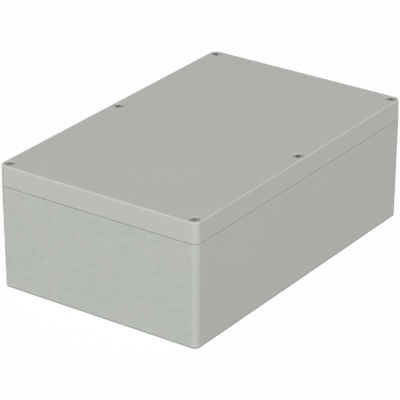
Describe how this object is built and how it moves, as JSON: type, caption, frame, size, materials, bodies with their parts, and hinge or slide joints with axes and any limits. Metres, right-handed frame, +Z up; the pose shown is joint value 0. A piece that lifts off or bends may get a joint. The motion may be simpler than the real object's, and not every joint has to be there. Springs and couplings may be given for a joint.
{
  "type": "plastic enclosure",
  "caption": "Rectangular moulded plastic enclosure: a deep base and a shallow lid, sealed by a gasket, closed by captive screws and fixed to a wall from inside.",
  "frame": {"origin": "centre of the underside, on the surface that the box stands on", "axes": "+X along the length, +Y along the width, +Z up from the base to the lid"},
  "size_m": [0.25, 0.16, 0.09],
  "materials": {
    "plastic": "light grey moulded plastic with a fine spark-eroded grain",
    "gasket": "black closed-cell sealing strip",
    "screw_steel": "turned stainless steel",
    "nylon": "natural nylon",
    "insert_brass": "knurled turned brass"
  },
  "bodies": {
    "base": {"base": "plastic", "insert_1": "insert_brass", "insert_2": "insert_brass", "insert_3": "insert_brass", "insert_4": "insert_brass", "insert_5": "insert_brass", "insert_6": "insert_brass"},
    "lid": {"lid": "plastic", "gasket": "gasket"},
    "ring_1": {"ring_1": "nylon"},
    "ring_2": {"ring_2": "nylon"},
    "ring_3": {"ring_3": "nylon"},
    "ring_4": {"ring_4": "nylon"},
    "ring_5": {"ring_5": "nylon"},
    "ring_6": {"ring_6": "nylon"},
    "screw_1": {"screw_1": "screw_steel"},
    "screw_2": {"screw_2": "screw_steel"},
    "screw_3": {"screw_3": "screw_steel"},
    "screw_4": {"screw_4": "screw_steel"},
    "screw_5": {"screw_5": "screw_steel"},
    "screw_6": {"screw_6": "screw_steel"}
  },
  "joints": [
    {"name": "lid_lift", "type": "slide", "parent": "base", "child": "lid", "axis": [0, 0, 1], "range_m": [0, 0.12]},
    {"name": "screw_1_rise", "type": "slide", "parent": "lid", "child": "ring_1", "axis": [0, 0, 1], "range_m": [0, 0.0044]},
    {"name": "screw_1_turn", "type": "hinge", "parent": "ring_1", "child": "screw_1", "pos_m": [-0.1195, -0.0745, 0.0795], "axis": [0, 0, 1], "range_deg": [0, 2263]},
    {"name": "screw_2_rise", "type": "slide", "parent": "lid", "child": "ring_2", "axis": [0, 0, 1], "range_m": [0, 0.0044]},
    {"name": "screw_2_turn", "type": "hinge", "parent": "ring_2", "child": "screw_2", "pos_m": [0, -0.0745, 0.0795], "axis": [0, 0, 1], "range_deg": [0, 2263]},
    {"name": "screw_3_rise", "type": "slide", "parent": "lid", "child": "ring_3", "axis": [0, 0, 1], "range_m": [0, 0.0044]},
    {"name": "screw_3_turn", "type": "hinge", "parent": "ring_3", "child": "screw_3", "pos_m": [0.1195, -0.0745, 0.0795], "axis": [0, 0, 1], "range_deg": [0, 2263]},
    {"name": "screw_4_rise", "type": "slide", "parent": "lid", "child": "ring_4", "axis": [0, 0, 1], "range_m": [0, 0.0044]},
    {"name": "screw_4_turn", "type": "hinge", "parent": "ring_4", "child": "screw_4", "pos_m": [0.1195, 0.0745, 0.0795], "axis": [0, 0, 1], "range_deg": [0, 2263]},
    {"name": "screw_5_rise", "type": "slide", "parent": "lid", "child": "ring_5", "axis": [0, 0, 1], "range_m": [0, 0.0044]},
    {"name": "screw_5_turn", "type": "hinge", "parent": "ring_5", "child": "screw_5", "pos_m": [0, 0.0745, 0.0795], "axis": [0, 0, 1], "range_deg": [0, 2263]},
    {"name": "screw_6_rise", "type": "slide", "parent": "lid", "child": "ring_6", "axis": [0, 0, 1], "range_m": [0, 0.0044]},
    {"name": "screw_6_turn", "type": "hinge", "parent": "ring_6", "child": "screw_6", "pos_m": [-0.1195, 0.0745, 0.0795], "axis": [0, 0, 1], "range_deg": [0, 2263]}
  ],
  "couplings": [
    {"joint": "screw_1_turn", "follows": "screw_1_rise", "rad_per_m": 8976},
    {"joint": "screw_2_turn", "follows": "screw_2_rise", "rad_per_m": 8976},
    {"joint": "screw_3_turn", "follows": "screw_3_rise", "rad_per_m": 8976},
    {"joint": "screw_4_turn", "follows": "screw_4_rise", "rad_per_m": 8976},
    {"joint": "screw_5_turn", "follows": "screw_5_rise", "rad_per_m": 8976},
    {"joint": "screw_6_turn", "follows": "screw_6_rise", "rad_per_m": 8976}
  ]
}
